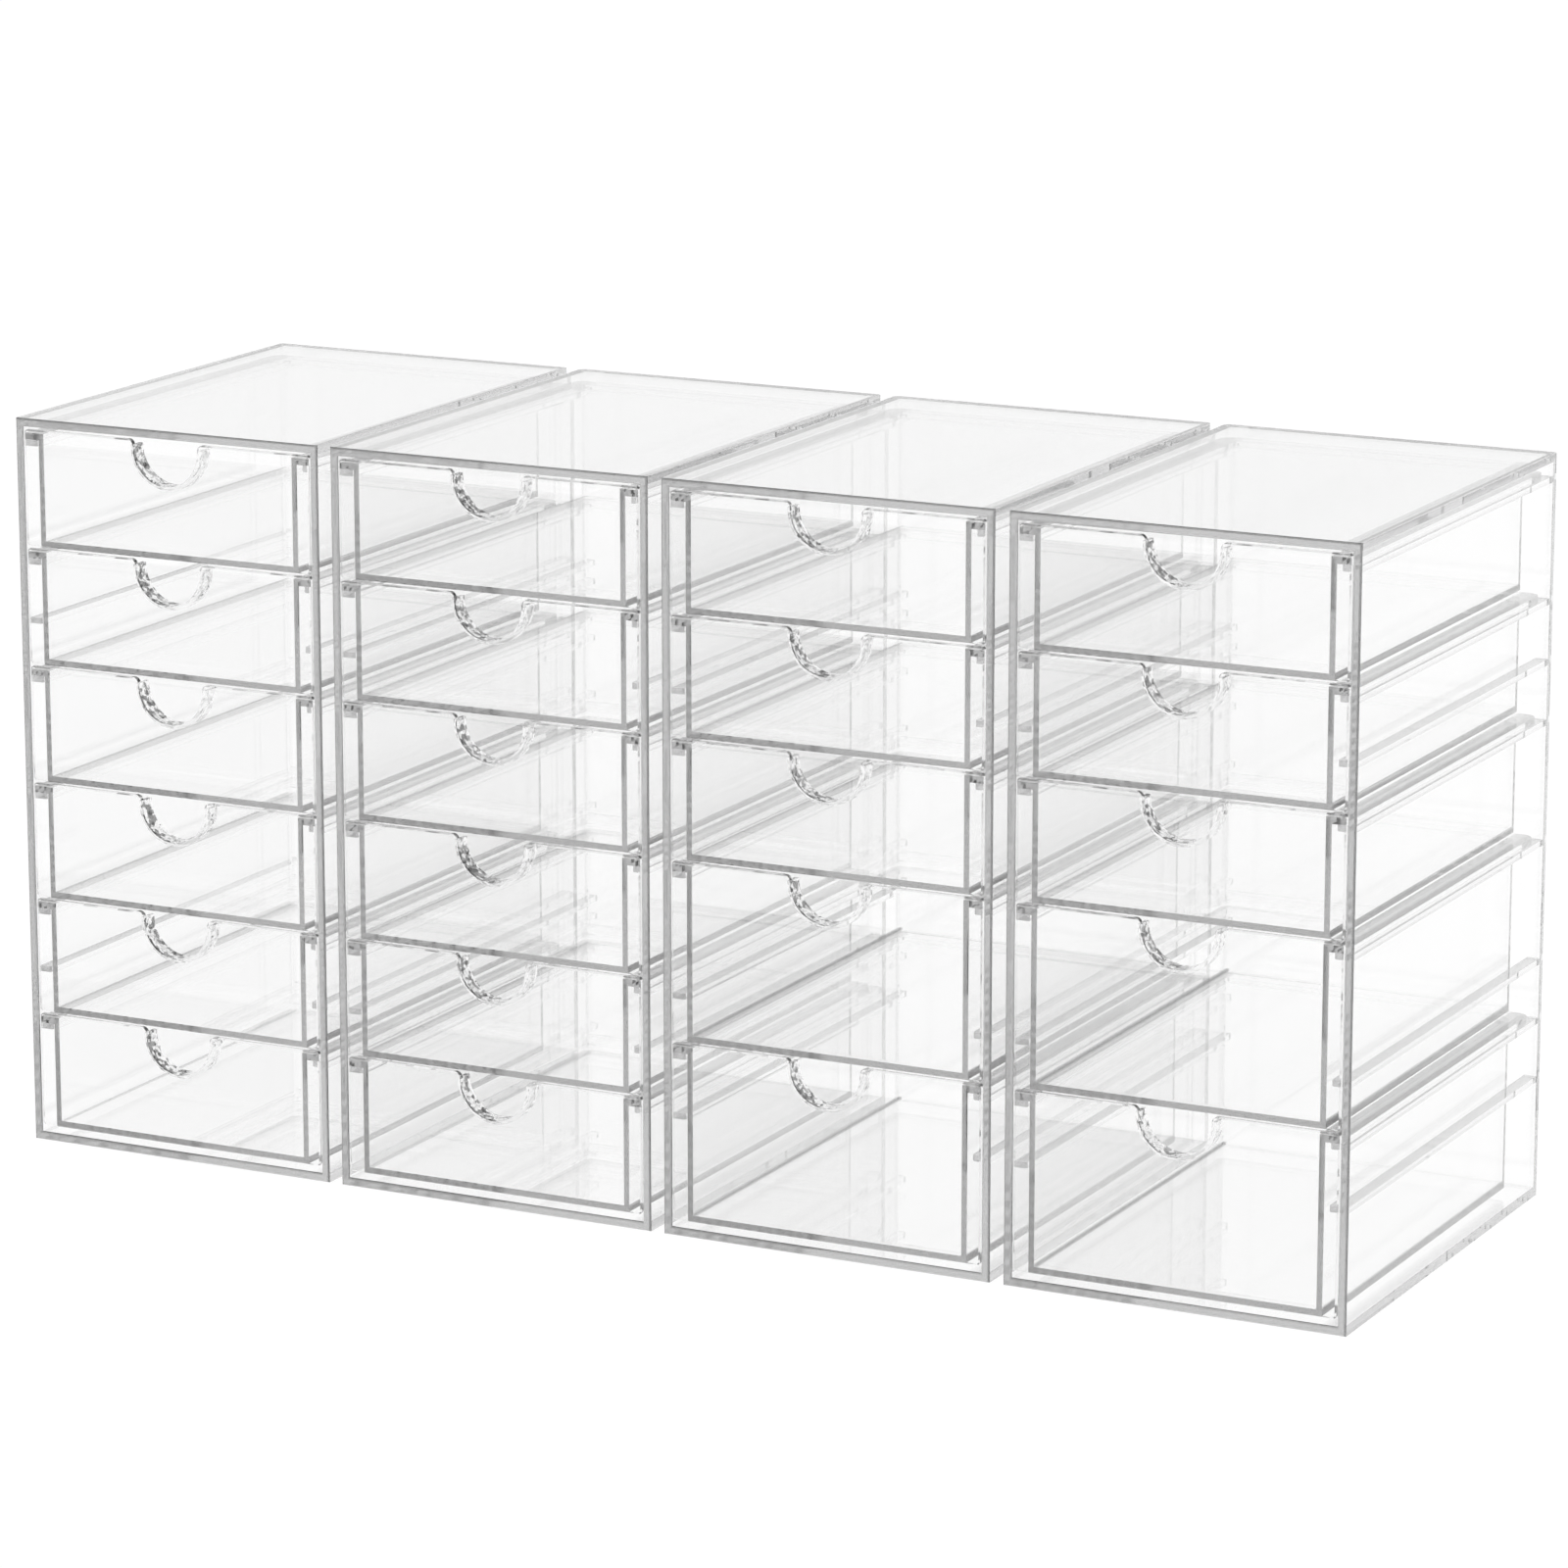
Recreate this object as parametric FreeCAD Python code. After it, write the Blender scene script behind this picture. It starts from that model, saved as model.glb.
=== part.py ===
import FreeCAD, Part
import os

# A row of clear moulded storage cases. Each case is a one-piece shell, open at the
# front, with rails along its side walls. Flanged trays with full-width fronts slide
# in on the rails. Two cases hold small drawers only, two hold small and large ones.
#
# Millimetres. +X runs along the row, +Y from the fronts to the backs, +Z up. The
# origin is the centre of the row's footprint, on the surface that the cases stand on.

# Row and cases
case_width = 140.0
case_depth = 205.0
case_height = 300.0
case_spacing = 5.9
small_only_cases = 2
mixed_cases = 2
case_wall = 3.4
case_back_wall = 3.0
case_back_corner_radius = 2.5
rim_outer_round = 0.8
rim_inner_round = 0.9

# Drawer places, counted in small drawers from the top of the case
small_drawers_per_case = 6
small_drawers_in_mixed_case = 3
large_drawer_units = 1.5
roof_gap = 1.0
front_to_front_gap = 1.0
floor_gap = 3.0

# Rails
rail_width = 5.1
rail_thickness = 2.4
rail_end_gap = 1.1
rail_end_bevel = 0.8

# Drawer fronts
front_thickness = 2.1
front_side_gap = 0.6
front_corner_bevel = 0.8
front_edge_bevel = 0.5

# Finger notch, a lined U in the top edge of each front
notch_width = 30.0
notch_mouth_radius = 2.4
notch_straight = 0.6
notch_lip_wall = 1.6
notch_lip_depth = 8.0

# Trays
tray_wall = 2.3
tray_floor = 2.3
tray_corner_bevel = 2.0
tray_to_rail_gap = 1.5
flange_thickness = 2.7
flange_below_front_top = 1.5
flange_corner_radius = 5.0
flange_over_rail_gap = 0.4
drawer_rear_gap = 7.7

# Worked-out sizes
case_count = small_only_cases + mixed_cases
case_pitch = case_width + case_spacing
row_width = case_count * case_pitch - case_spacing
front_y = -case_depth / 2.0
back_y = case_depth / 2.0
stack_height = case_height - 2.0 * case_wall - roof_gap - floor_gap
drawer_pitch = (stack_height + front_to_front_gap) / small_drawers_per_case
front_width = case_width - 2.0 * (case_wall + front_side_gap)
tray_width = case_width - 2.0 * (case_wall + rail_width + tray_to_rail_gap)
tray_overhang = (front_width - tray_width) / 2.0
flange_back_y = back_y - case_back_wall - drawer_rear_gap
tray_back_y = flange_back_y - tray_overhang
tray_front_y = front_y + front_thickness
rail_front_y = tray_front_y + rail_end_gap


def vector(x, y, z):
    return FreeCAD.Vector(x, y, z)


def box(x0, x1, y0, y1, z0, z1):
    return Part.makeBox(x1 - x0, y1 - y0, z1 - z0, vector(x0, y0, z0))


def centred_box(width, y0, y1, z0, z1):
    return box(-width / 2.0, width / 2.0, y0, y1, z0, z1)


def is_upright(edge):
    bounds = edge.BoundBox
    return bounds.XLength < 1e-6 and bounds.YLength < 1e-6


def on_plane(edge, side, value):
    """Whether the whole edge lies in the plane where its bounding box side is value."""
    other_side = side[0] + ("Max" if side.endswith("Min") else "Min")
    bounds = edge.BoundBox
    return abs(getattr(bounds, side) - value) < 1e-6 and abs(getattr(bounds, other_side) - value) < 1e-6


def back_corners(shape, y1):
    """Upright edges at the back of a block that ends at y1."""
    return [e for e in shape.Edges if is_upright(e) and on_plane(e, "YMin", y1)]


def front_edges(shape):
    return [e for e in shape.Edges if on_plane(e, "YMin", front_y)]


def front_top(level):
    """Height of the top edge of a drawer front at a place counted from the top."""
    return case_height - case_wall - roof_gap - level * drawer_pitch


def flange_bottom(level):
    return front_top(level) - flange_below_front_top - flange_thickness


def rail_levels():
    """Places that need a rail, so that small or large drawers can fill the case."""
    small = [float(level) for level in range(small_drawers_per_case)]
    large_count = int(small_drawers_per_case / large_drawer_units)
    large = [large_drawer_units * place for place in range(large_count)]
    return sorted(set(small + large))


def drawer_places(small_count):
    """List of (level, units) from the top: small drawers, then large ones."""
    places = [(float(level), 1.0) for level in range(small_count)]
    level = float(small_count)
    while level + large_drawer_units <= small_drawers_per_case:
        places.append((level, large_drawer_units))
        level += large_drawer_units
    return places


def make_rail(side, level):
    """Rail on the left (-1) or right (+1) wall, its inner front corner eased."""
    wall_x = side * (case_width / 2.0 - case_wall)
    inner_x = wall_x - side * rail_width
    top = flange_bottom(level) - flange_over_rail_gap
    rail = box(
        min(wall_x, inner_x), max(wall_x, inner_x),
        rail_front_y, back_y - case_back_wall,
        top - rail_thickness, top,
    )
    corner = [
        e for e in rail.Edges
        if is_upright(e) and on_plane(e, "XMin", inner_x) and on_plane(e, "YMin", rail_front_y)
    ]
    return rail.makeChamfer(rail_end_bevel, corner)


def make_case():
    """Open-fronted shell with every rail, centred on x = 0."""
    shell = centred_box(case_width, front_y, back_y, 0.0, case_height)
    shell = shell.makeFillet(case_back_corner_radius, back_corners(shell, back_y))
    shell = shell.makeFillet(rim_outer_round, front_edges(shell))
    inner_half = case_width / 2.0 - case_wall
    cavity = centred_box(
        2.0 * inner_half, front_y, back_y - case_back_wall,
        case_wall, case_height - case_wall,
    )
    shell = shell.cut(cavity)
    inner_rim = [
        e for e in front_edges(shell)
        if e.BoundBox.XMin > -inner_half - 1e-6 and e.BoundBox.XMax < inner_half + 1e-6
        and e.BoundBox.ZMin > case_wall - 1e-6 and e.BoundBox.ZMax < case_height - case_wall + 1e-6
    ]
    shell = shell.makeFillet(rim_inner_round, inner_rim)
    rails = [make_rail(side, level) for level in rail_levels() for side in (-1, 1)]
    return shell.fuse(rails).removeSplitter()


def line(x0, z0, x1, z1):
    return Part.LineSegment(vector(x0, 0.0, z0), vector(x1, 0.0, z1)).toShape()


def arc(start, middle, end):
    points = [vector(x, 0.0, z) for x, z in (start, middle, end)]
    return Part.Arc(*points).toShape()


def u_edges(half, bend_z, side_top):
    """Left side, round bottom and right side of a U whose bottom bends from bend_z."""
    return [
        line(-half, side_top, -half, bend_z),
        arc((-half, bend_z), (0.0, bend_z - half), (half, bend_z)),
        line(half, bend_z, half, side_top),
    ]


def prism(edges, y0, y1):
    """Solid from y0 to y1 over a closed outline that is drawn in the plane y = 0."""
    section = Part.Face(Part.Wire(Part.sortEdges(edges)[0]))
    section.translate(vector(0.0, y0, 0.0))
    return section.extrude(vector(0.0, y1 - y0, 0.0))


def notch_bend(top):
    """Height at which the notch's straight sides turn into its round bottom."""
    return top - notch_mouth_radius - notch_straight


def make_notch_space(top):
    """Space of the finger notch, from the front face to the back of its lip."""
    half = notch_width / 2.0
    mouth_z = top - notch_mouth_radius
    outer_x = half + notch_mouth_radius
    bend = notch_mouth_radius / 2.0 ** 0.5
    outline = u_edges(half, notch_bend(top), mouth_z)
    for side in (-1.0, 1.0):
        outline.append(arc(
            (side * outer_x, top),
            (side * (outer_x - bend), mouth_z + bend),
            (side * half, mouth_z),
        ))
    outline.append(line(-outer_x, top, outer_x, top))
    return prism(outline, front_y, front_y + notch_lip_depth)


def make_notch_plug(top):
    """Block behind the front that the notch space turns into the notch's lip."""
    half = notch_width / 2.0 + notch_lip_wall
    mouth_z = top - notch_mouth_radius
    outline = u_edges(half, notch_bend(top), mouth_z)
    outline.append(line(-half, mouth_z, half, mouth_z))
    return prism(outline, tray_front_y, front_y + notch_lip_depth)


def make_front(bottom, top):
    """Plain front plate, its corners and the edges of its front face bevelled."""
    plate = centred_box(front_width, front_y, tray_front_y, bottom, top)
    corners = [e for e in plate.Edges if e.BoundBox.XLength < 1e-6 and e.BoundBox.ZLength < 1e-6]
    plate = plate.makeChamfer(front_corner_bevel, corners)
    return plate.makeChamfer(front_edge_bevel, front_edges(plate))


def make_tray(level, bottom):
    """Open tray behind a front, with a flange round its sides and back."""
    flange_z = flange_bottom(level)
    rim_z = flange_z + flange_thickness
    body = centred_box(tray_width, tray_front_y, tray_back_y, bottom, rim_z)
    body = body.makeChamfer(tray_corner_bevel, back_corners(body, tray_back_y))
    flange = centred_box(front_width, tray_front_y, flange_back_y, flange_z, rim_z)
    flange = flange.makeFillet(flange_corner_radius, back_corners(flange, flange_back_y))
    hollow = centred_box(
        tray_width - 2.0 * tray_wall, tray_front_y, tray_back_y - tray_wall,
        bottom + tray_floor, rim_z,
    )
    return body.fuse(flange).cut(hollow)


def make_drawer(level, units):
    """One moulding: front plate, lined finger notch and flanged tray."""
    top = front_top(level)
    bottom = top - units * drawer_pitch + front_to_front_gap
    pieces = [make_notch_plug(top), make_tray(level, bottom)]
    drawer = make_front(bottom, top).fuse(pieces).cut(make_notch_space(top))
    return drawer.removeSplitter()


def export(shape, node, x):
    placed = shape.copy()
    placed.translate(vector(x, 0.0, 0.0))
    placed.exportStep("parts/" + node + ".step")
    print(node, placed.isValid(), len(placed.Solids), round(placed.Volume))


os.makedirs("parts", exist_ok=True)
case_shape = make_case()
drawer_shapes = {}
for case_index in range(case_count):
    case_x = (case_index - (case_count - 1) / 2.0) * case_pitch
    case_name = "case_" + str(case_index + 1)
    export(case_shape, case_name, case_x)
    small_only = case_index < small_only_cases
    small_count = small_drawers_per_case if small_only else small_drawers_in_mixed_case
    for drawer_index, place in enumerate(drawer_places(small_count)):
        if place not in drawer_shapes:
            drawer_shapes[place] = make_drawer(*place)
        export(drawer_shapes[place], case_name + "_drawer_" + str(drawer_index + 1), case_x)
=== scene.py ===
"""Clear craft storage drawers: a row of four moulded cases with slide-out trays.

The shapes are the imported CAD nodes. This script gives them their clear plastic, and
adds the pale floor, the surroundings and the camera. Metres, +Z up, fronts towards -Y.
"""

import math

import bpy
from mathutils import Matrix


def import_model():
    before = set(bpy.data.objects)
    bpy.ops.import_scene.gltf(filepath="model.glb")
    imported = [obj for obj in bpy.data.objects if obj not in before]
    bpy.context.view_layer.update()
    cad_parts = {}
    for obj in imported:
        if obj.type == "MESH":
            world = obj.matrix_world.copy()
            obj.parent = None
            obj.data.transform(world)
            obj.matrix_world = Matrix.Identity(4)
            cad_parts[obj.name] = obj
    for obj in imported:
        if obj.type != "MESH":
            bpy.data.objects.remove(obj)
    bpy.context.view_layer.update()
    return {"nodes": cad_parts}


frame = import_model()

# Camera, fitted to the corners of the cases
CAMERA_PLACE = (1.1224, -2.2151, 0.7452)
CAMERA_TURN_DEG = 26.794
CAMERA_PITCH_DEG = 13.291
CAMERA_LENS_MM = 146.79
SENSOR_MM = 36.0

# Clear plastic: refraction, light lost per metre, and the unevenness of its faces
PLASTIC_IOR = 1.54
CASE_LOSS = 2.2
DRAWER_LOSS = 4.2
SHADOW_CLEARNESS = 0.99
WAVE_SCALE = 25.0
WAVE_DETAIL = 0.0
WAVE_HEIGHT = 0.00003
SMUDGE_SCALE = 60.0
SMUDGE_DETAIL = 3.0
SMUDGE_NOISE = (0.5, 0.8)
SMUDGE_ROUGHNESS = 0.012

# The pairs below are the two ends of a soft limit. Places are shares of the node's box:
# side runs in from the nearer side, depth from the front, height from the foot.
# Directions are parts of the face's normal.
FACES_UP = (0.8, 0.9)
FACES_FORWARD = (-0.35, -0.25)
FACES_STRAIGHT_FORWARD = (-0.95, -0.9)
FACES_ASLANT = (-0.99, -0.98)

# Tops of rails and flanges, darkened by a painted shade
RAIL_SIDE = (0.0607, 0.0617)
FLANGE_SIDE = (0.063, 0.064)
PAINTED_TOPS_FROM_HEIGHT = (0.03, 0.04)
PAINTED_TOPS_TO_HEIGHT = (0.985, 0.988)
TOPS_PAINTED_SHADE = 0.54

# Rim and rail ends of a case: rougher, and darkened by a painted shade
RIM_DEPTH = (0.022, 0.023)
RIM_PAINTED_SHADE = 0.78
RIM_ROUGHNESS = 0.12
# Its rounded outer edge, darkened further by a painted shade
EDGE_SIDE = (0.0058, 0.0062)
EDGE_HEIGHT = (0.9970, 0.9972)
EDGE_DEPTH = (0.0040, 0.0042)
EDGE_PAINTED_SHADE = 0.35

# Outer face of a case's top, faintly darkened by a painted shade
TOP_HEIGHT = (0.995, 0.998)
CASE_TOP_PAINTED_SHADE = 0.8

# Outer corners along the foot of a tray, darkened by a painted shade
FOOT_HEIGHT = (0.04, 0.042)
FOOT_SIDE = (0.068, 0.069)
FOOT_PAINTED_SHADE = 0.45

# Front plate, and its faint sink marks over the ends of the tray's walls and floor
PLATE_DEPTH = (0.012, 0.013)
SINK_FROM_SIDE = (0.044, 0.045)
SINK_TO_SIDE = (0.0635, 0.0645)
SINK_HEIGHT = (0.045, 0.047)
SINK_ROUGHNESS = 0.12

# Lip of the finger notch: cells per metre, their tilt, and how many of them carry a
# painted dark glint
LIP_SIDE = (0.36, 0.365)
LIP_DEPTH = (0.042, 0.043)
LIP_HEIGHT = (0.5, 0.52)
LIP_FACING_SQUARE = (0.01, 0.04)
LIP_CELLS = 550.0
LIP_TILT = 0.5
LIP_CLEAR_SHARE = (0.68, 0.7)
LIP_GLINT_PAINTED_SHADE = 0.1
# The right half of the lip has fewer painted dark glints
LIP_MIDDLE = (0.48, 0.54)
LIP_RIGHT_SHARE = 0.3

# Surroundings, as shares of white, and the limits of their directions
CARD_LEVEL = 0.65
CARD_TO_RIGHT = (0.1, 0.35)
CARD_TO_BACK = (0.0, 0.4)
CEILING_LEVEL = 0.7
CEILING_HEIGHT = (0.35, 0.6)

# Floor
FLOOR_SIZE = 12.0
FLOOR_DROP = 0.0002
FLOOR_COLOUR = (0.93, 0.93, 0.93)
FLOOR_GLOW = 1.07
FLOOR_GLOW_SHARE = 0.9

# Enough for light that runs along inside the walls
LIGHT_BOUNCES = 256

WHITE = (1.0, 1.0, 1.0, 1.0)
BLACK = (0.0, 0.0, 0.0, 1.0)


def add_node(tree, kind, **values):
    node = tree.nodes.new(kind)
    for name, value in values.items():
        node.inputs[name.replace("_", " ")].default_value = value
    return node


def new_material(name):
    material = bpy.data.materials.new(name)
    material.use_nodes = True
    material.node_tree.nodes.clear()
    return material


def ramp(tree, source, limits, low, high):
    """Value that goes from low to high while the source goes through the limits."""
    node = tree.nodes.new("ShaderNodeMapRange")
    values = (*limits, low, high)
    for name, value in zip(("From Min", "From Max", "To Min", "To Max"), values):
        node.inputs[name].default_value = value
    tree.links.new(source, node.inputs["Value"])
    return node.outputs["Result"]


def past(tree, source, limits):
    """Mask that is 1 past the limits and 0 before them."""
    return ramp(tree, source, limits, 0.0, 1.0)


def before(tree, source, limits):
    """Mask that is 1 before the limits and 0 past them."""
    return ramp(tree, source, limits, 1.0, 0.0)


def by_mask(tree, mask, off, on):
    """Value that is off where the mask is 0 and on where it is 1."""
    return ramp(tree, mask, (0.0, 1.0), off, on)


def calculate(tree, operation, first, second):
    node = tree.nodes.new("ShaderNodeMath")
    node.operation = operation
    tree.links.new(first, node.inputs[0])
    tree.links.new(second, node.inputs[1])
    return node.outputs["Value"]


def multiply(tree, first, *others):
    product = first
    for other in others:
        product = calculate(tree, "MULTIPLY", product, other)
    return product


def object_place(tree):
    return tree.nodes.new("ShaderNodeTexCoord").outputs["Object"]


def object_noise(tree, scale, detail):
    noise = add_node(tree, "ShaderNodeTexNoise", Scale=scale, Detail=detail)
    tree.links.new(object_place(tree), noise.inputs["Vector"])
    return noise.outputs["Fac"]


def face_parts(tree):
    """Where a face lies in its node's box, as shares, and parts of its normal."""
    place = tree.nodes.new("ShaderNodeTexCoord")
    share = tree.nodes.new("ShaderNodeSeparateXYZ")
    tree.links.new(place.outputs["Generated"], share.inputs["Vector"])
    from_side = tree.nodes.new("ShaderNodeMath")
    from_side.operation = "PINGPONG"
    from_side.inputs[1].default_value = 0.5
    tree.links.new(share.outputs["X"], from_side.inputs[0])
    geometry = tree.nodes.new("ShaderNodeNewGeometry")
    facing = tree.nodes.new("ShaderNodeSeparateXYZ")
    tree.links.new(geometry.outputs["True Normal"], facing.inputs["Vector"])
    return {
        "side": from_side.outputs["Value"],
        "from_left": share.outputs["X"],
        "depth": share.outputs["Y"],
        "height": share.outputs["Z"],
        "facing_y": facing.outputs["Y"],
        "facing_z": facing.outputs["Z"],
    }


def painted_shade_tops(tree, parts, strip):
    """Mask of the upward faces in the strips along the node's two sides, for a painted
    shade.
    """
    return multiply(
        tree,
        before(tree, parts["side"], strip),
        past(tree, parts["height"], PAINTED_TOPS_FROM_HEIGHT),
        before(tree, parts["height"], PAINTED_TOPS_TO_HEIGHT),
        past(tree, parts["facing_z"], FACES_UP),
    )


def case_rim(tree, parts):
    """Mask of the front faces of a case's rim and rails."""
    return multiply(
        tree,
        before(tree, parts["depth"], RIM_DEPTH),
        before(tree, parts["facing_y"], FACES_FORWARD),
    )


def case_outer_edge(tree, parts):
    """Mask of the rounded outer edge of a case's rim, at its sides and top."""
    along_edge = calculate(
        tree, "MAXIMUM",
        before(tree, parts["side"], EDGE_SIDE),
        past(tree, parts["height"], EDGE_HEIGHT),
    )
    return multiply(
        tree,
        along_edge,
        before(tree, parts["depth"], EDGE_DEPTH),
        before(tree, parts["facing_y"], FACES_FORWARD),
        past(tree, parts["facing_y"], FACES_ASLANT),
    )


def case_top(tree, parts):
    """Mask of the outer face of a case's top."""
    return multiply(
        tree,
        past(tree, parts["height"], TOP_HEIGHT),
        past(tree, parts["facing_z"], FACES_UP),
    )


def tray_foot(tree, parts):
    """Mask of the outer corners along the foot of a tray."""
    return multiply(
        tree,
        before(tree, parts["height"], FOOT_HEIGHT),
        before(tree, parts["side"], FOOT_SIDE),
        past(tree, parts["depth"], PLATE_DEPTH),
    )


def sink_marks(tree, parts):
    """Mask of a drawer's front face over the ends of its tray's walls and floor."""
    over_wall = multiply(
        tree,
        past(tree, parts["side"], SINK_FROM_SIDE),
        before(tree, parts["side"], SINK_TO_SIDE),
    )
    over_floor = before(tree, parts["height"], SINK_HEIGHT)
    return multiply(
        tree,
        calculate(tree, "MAXIMUM", over_wall, over_floor),
        before(tree, parts["depth"], PLATE_DEPTH),
        before(tree, parts["facing_y"], FACES_STRAIGHT_FORWARD),
    )


def notch_lip(tree, parts):
    """Mask of the curved faces of the finger notch's lip."""
    facing_square = multiply(tree, parts["facing_y"], parts["facing_y"])
    return multiply(
        tree,
        past(tree, parts["side"], LIP_SIDE),
        before(tree, parts["depth"], LIP_DEPTH),
        past(tree, parts["height"], LIP_HEIGHT),
        before(tree, facing_square, LIP_FACING_SQUARE),
    )


def vector_math(tree, operation, first):
    node = tree.nodes.new("ShaderNodeVectorMath")
    node.operation = operation
    tree.links.new(first, node.inputs[0])
    return node


def lip_facets_and_painted_glints(tree, parts, normal):
    """The normal and the shade of a lip that is broken into small facets: each cell
    has a tilt of its own, and some cells are darkened as painted dark glints."""
    mask = notch_lip(tree, parts)
    cells = add_node(tree, "ShaderNodeTexVoronoi", Scale=LIP_CELLS)
    tree.links.new(object_place(tree), cells.inputs["Vector"])

    centred = vector_math(tree, "SUBTRACT", cells.outputs["Color"])
    centred.inputs[1].default_value = (0.5, 0.5, 0.5)
    tilt = vector_math(tree, "SCALE", centred.outputs["Vector"])
    tree.links.new(by_mask(tree, mask, 0.0, LIP_TILT), tilt.inputs["Scale"])
    tilted = vector_math(tree, "ADD", normal)
    tree.links.new(tilt.outputs["Vector"], tilted.inputs[1])

    chance = tree.nodes.new("ShaderNodeSeparateXYZ")
    tree.links.new(cells.outputs["Color"], chance.inputs["Vector"])
    is_painted_glint = multiply(
        tree,
        past(tree, chance.outputs["X"], LIP_CLEAR_SHARE),
        ramp(tree, parts["from_left"], LIP_MIDDLE, 1.0, LIP_RIGHT_SHARE),
        mask,
    )
    return tilted.outputs["Vector"], by_mask(tree, is_painted_glint, 1.0, LIP_GLINT_PAINTED_SHADE)


def clear_plastic(name, loss, strip, has_lip):
    """Polished clear styrene. Its faces are a little wavy from the mould and have
    faint smudges. It loses light along the long paths inside walls and rims, and
    lets the light of lamps through. Its base colour holds only painted shades, on
    rail and flange tops, rims, case tops, outer edges and trays' feet, and painted
    dark glints on the notch's lip."""
    material = new_material(name)
    tree = material.node_tree
    output = tree.nodes.new("ShaderNodeOutputMaterial")
    plastic = add_node(tree, "ShaderNodeBsdfPrincipled", Base_Color=WHITE, IOR=PLASTIC_IOR)
    plastic.inputs["Transmission Weight"].default_value = 1.0

    wave = add_node(tree, "ShaderNodeBump", Distance=WAVE_HEIGHT)
    tree.links.new(object_noise(tree, WAVE_SCALE, WAVE_DETAIL), wave.inputs["Height"])
    normal = wave.outputs["Normal"]
    smudge = object_noise(tree, SMUDGE_SCALE, SMUDGE_DETAIL)
    smudge_roughness = ramp(tree, smudge, SMUDGE_NOISE, 0.0, SMUDGE_ROUGHNESS)

    parts = face_parts(tree)
    # Painted shade on the tops of rails and flanges
    painted_tops_shade = by_mask(tree, painted_shade_tops(tree, parts, strip), 1.0, TOPS_PAINTED_SHADE)
    if has_lip:
        # Painted shade on the outer corners along the tray's foot
        foot_painted_shade = by_mask(tree, tray_foot(tree, parts), 1.0, FOOT_PAINTED_SHADE)
        # Tilted facets on the notch's lip, with painted dark glints
        normal, lip_painted_glints = lip_facets_and_painted_glints(tree, parts, normal)
        shade = multiply(tree, painted_tops_shade, foot_painted_shade, lip_painted_glints)
        dull_roughness = by_mask(tree, sink_marks(tree, parts), 0.0, SINK_ROUGHNESS)
    else:
        rim = case_rim(tree, parts)
        # Painted shade on the rim and rail ends, which are also rougher
        rim_painted_shade = by_mask(tree, rim, 1.0, RIM_PAINTED_SHADE)
        # Painted shade on the outer face of the case's top
        case_top_painted_shade = by_mask(tree, case_top(tree, parts), 1.0, CASE_TOP_PAINTED_SHADE)
        # Painted shade on the rounded outer edge of the rim
        edge_painted_shade = by_mask(tree, case_outer_edge(tree, parts), 1.0, EDGE_PAINTED_SHADE)
        shade = multiply(tree, painted_tops_shade, rim_painted_shade, case_top_painted_shade, edge_painted_shade)
        dull_roughness = by_mask(tree, rim, 0.0, RIM_ROUGHNESS)
    roughness = calculate(tree, "ADD", smudge_roughness, dull_roughness)
    tree.links.new(normal, plastic.inputs["Normal"])
    # The base colour carries only the painted shades and painted dark glints
    tree.links.new(shade, plastic.inputs["Base Color"])
    tree.links.new(roughness, plastic.inputs["Roughness"])

    shadow_colour = (SHADOW_CLEARNESS, SHADOW_CLEARNESS, SHADOW_CLEARNESS, 1.0)
    see_through = add_node(tree, "ShaderNodeBsdfTransparent", Color=shadow_colour)
    light_path = tree.nodes.new("ShaderNodeLightPath")
    mix = tree.nodes.new("ShaderNodeMixShader")
    tree.links.new(light_path.outputs["Is Shadow Ray"], mix.inputs["Fac"])
    tree.links.new(plastic.outputs["BSDF"], mix.inputs[1])
    tree.links.new(see_through.outputs["BSDF"], mix.inputs[2])
    tree.links.new(mix.outputs["Shader"], output.inputs["Surface"])

    absorption = add_node(tree, "ShaderNodeVolumeAbsorption", Color=BLACK, Density=loss)
    tree.links.new(absorption.outputs["Volume"], output.inputs["Volume"])
    return material


def dress_nodes():
    case_material = clear_plastic("case_clear_plastic", CASE_LOSS, RAIL_SIDE, False)
    drawer_material = clear_plastic("drawer_clear_plastic", DRAWER_LOSS, FLANGE_SIDE, True)
    for name, node in frame["nodes"].items():
        is_drawer = "drawer" in name
        node.data.materials.clear()
        node.data.materials.append(drawer_material if is_drawer else case_material)


def make_world():
    """White surroundings with a darker card to the right behind the row, which the
    side walls mirror, and a dimmer ceiling."""
    world = bpy.data.worlds.new("pale_studio")
    bpy.context.scene.world = world
    world.use_nodes = True
    tree = world.node_tree
    tree.nodes.clear()
    output = tree.nodes.new("ShaderNodeOutputWorld")
    place = tree.nodes.new("ShaderNodeTexCoord")
    direction = tree.nodes.new("ShaderNodeSeparateXYZ")
    tree.links.new(place.outputs["Generated"], direction.inputs["Vector"])
    card_mask = multiply(
        tree,
        past(tree, direction.outputs["X"], CARD_TO_RIGHT),
        past(tree, direction.outputs["Y"], CARD_TO_BACK),
    )
    card = by_mask(tree, card_mask, 1.0, CARD_LEVEL)
    ceiling = ramp(tree, direction.outputs["Z"], CEILING_HEIGHT, 1.0, CEILING_LEVEL)
    light = add_node(tree, "ShaderNodeBackground", Color=WHITE)
    tree.links.new(multiply(tree, card, ceiling), light.inputs["Strength"])
    tree.links.new(light.outputs["Background"], output.inputs["Surface"])


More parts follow.
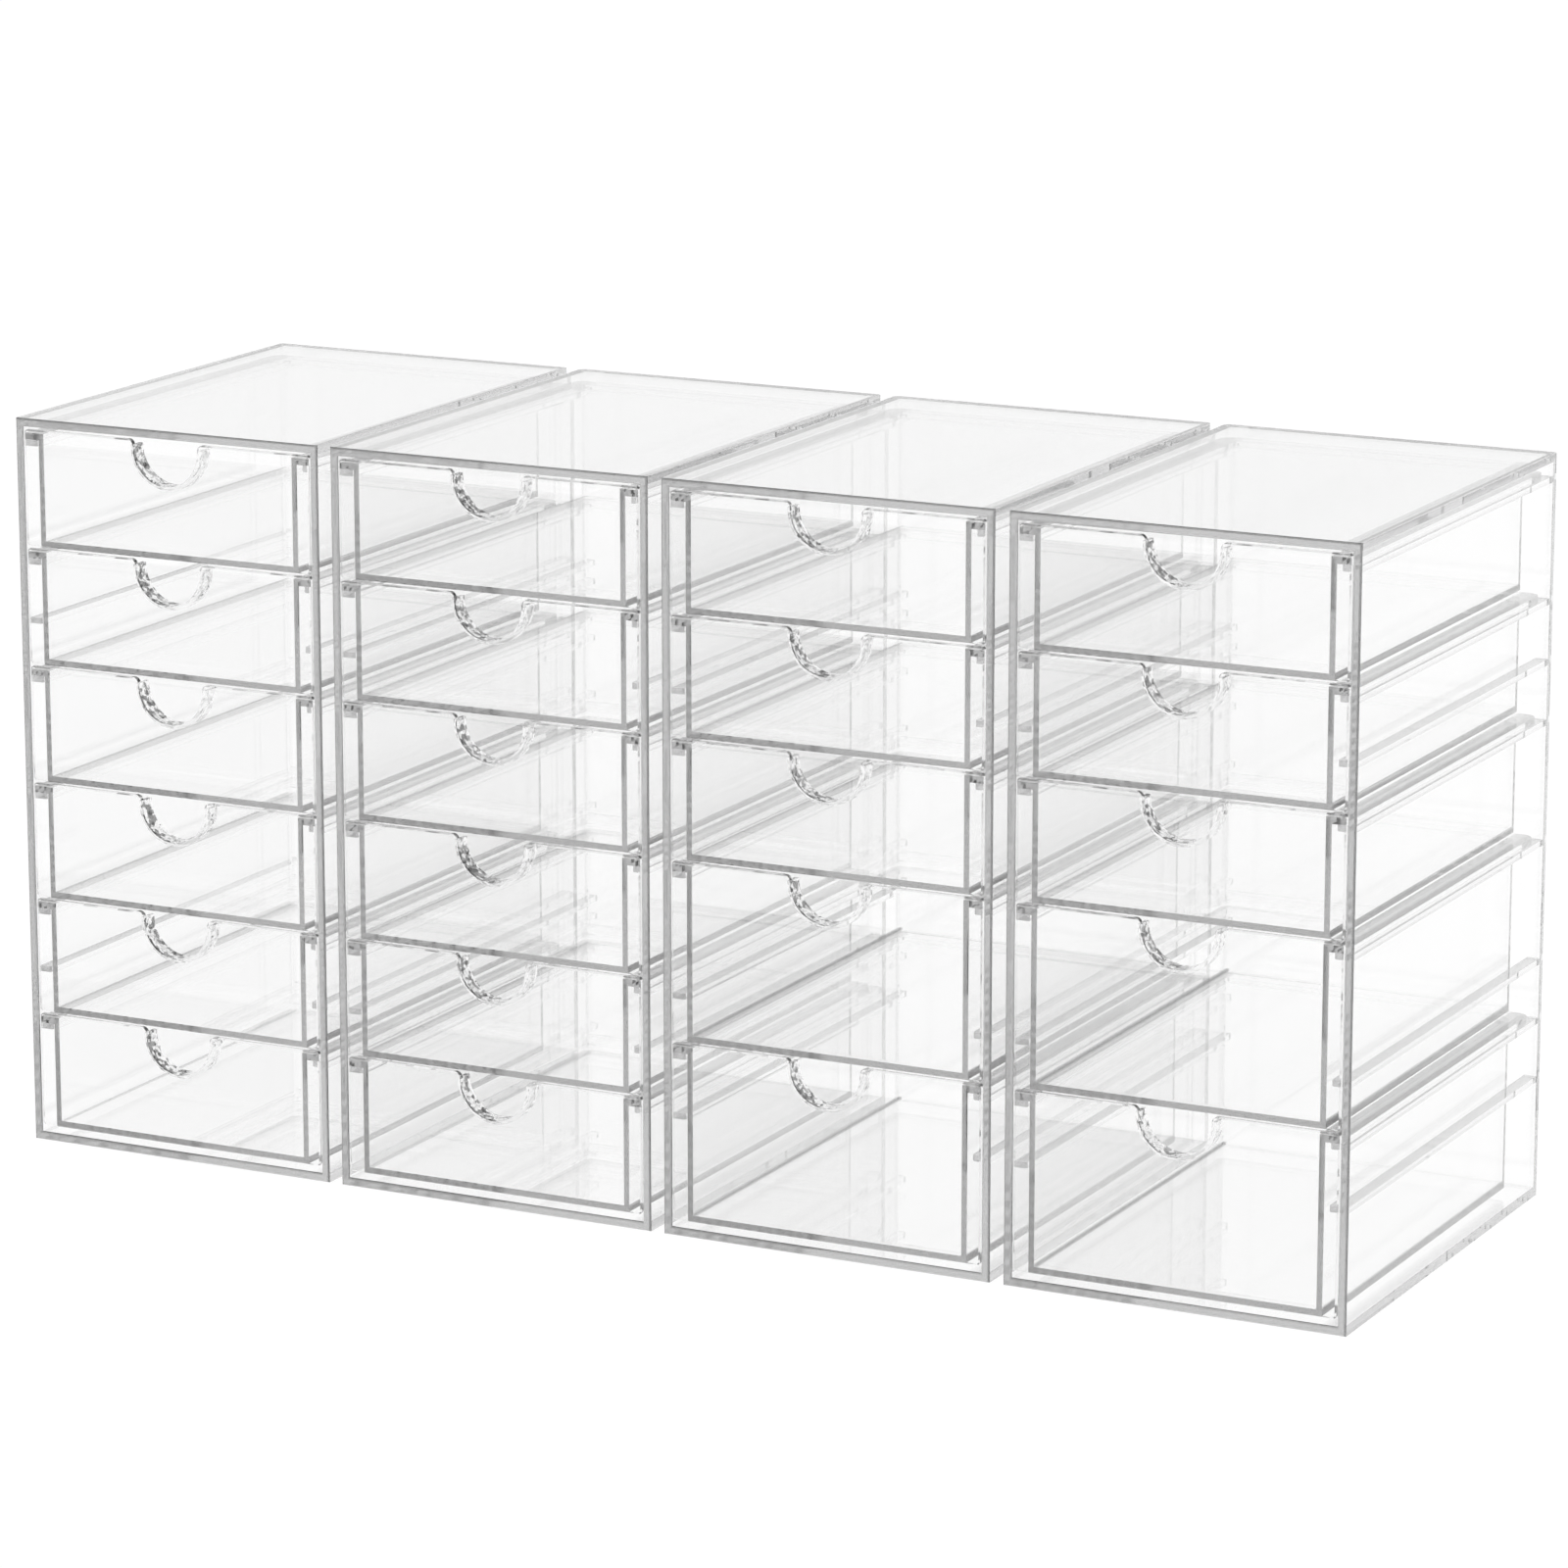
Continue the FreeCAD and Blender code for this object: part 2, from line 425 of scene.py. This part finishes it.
def seen_share(tree):
    """FLOOR_GLOW_SHARE for rays that show the floor, directly or by way of the plastic."""
    light_path = tree.nodes.new("ShaderNodeLightPath")
    seen = light_path.outputs["Is Camera Ray"]
    for kind in ("Is Glossy Ray", "Is Transmission Ray"):
        seen = calculate(tree, "MAXIMUM", seen, light_path.outputs[kind])
    return by_mask(tree, seen, 0.0, FLOOR_GLOW_SHARE)


def make_floor():
    """Pale floor that shows as white and keeps the object's faint shadow."""
    bpy.ops.mesh.primitive_plane_add(size=FLOOR_SIZE, location=(0.0, 0.0, -FLOOR_DROP))
    floor = bpy.context.object
    floor.name = "floor"
    material = new_material("pale_floor")
    tree = material.node_tree
    output = tree.nodes.new("ShaderNodeOutputMaterial")
    diffuse = add_node(tree, "ShaderNodeBsdfDiffuse", Color=(*FLOOR_COLOUR, 1.0))
    glow = add_node(tree, "ShaderNodeEmission", Color=WHITE, Strength=FLOOR_GLOW)
    mix = tree.nodes.new("ShaderNodeMixShader")
    tree.links.new(seen_share(tree), mix.inputs["Fac"])
    tree.links.new(diffuse.outputs["BSDF"], mix.inputs[1])
    tree.links.new(glow.outputs["Emission"], mix.inputs[2])
    tree.links.new(mix.outputs["Shader"], output.inputs["Surface"])
    floor.data.materials.append(material)


def make_camera():
    data = bpy.data.cameras.new("camera")
    data.lens = CAMERA_LENS_MM
    data.sensor_width = SENSOR_MM
    camera = bpy.data.objects.new("camera", data)
    camera.location = CAMERA_PLACE
    camera.rotation_euler = (
        math.radians(90.0 - CAMERA_PITCH_DEG), 0.0, math.radians(CAMERA_TURN_DEG)
    )
    bpy.context.collection.objects.link(camera)
    bpy.context.scene.camera = camera


def set_light_paths():
    cycles = bpy.context.scene.cycles
    cycles.max_bounces = LIGHT_BOUNCES
    cycles.transmission_bounces = LIGHT_BOUNCES
    cycles.glossy_bounces = LIGHT_BOUNCES
    cycles.transparent_max_bounces = LIGHT_BOUNCES


dress_nodes()
make_world()
make_floor()
make_camera()
set_light_paths()
bpy.context.scene.view_settings.view_transform = "Standard"
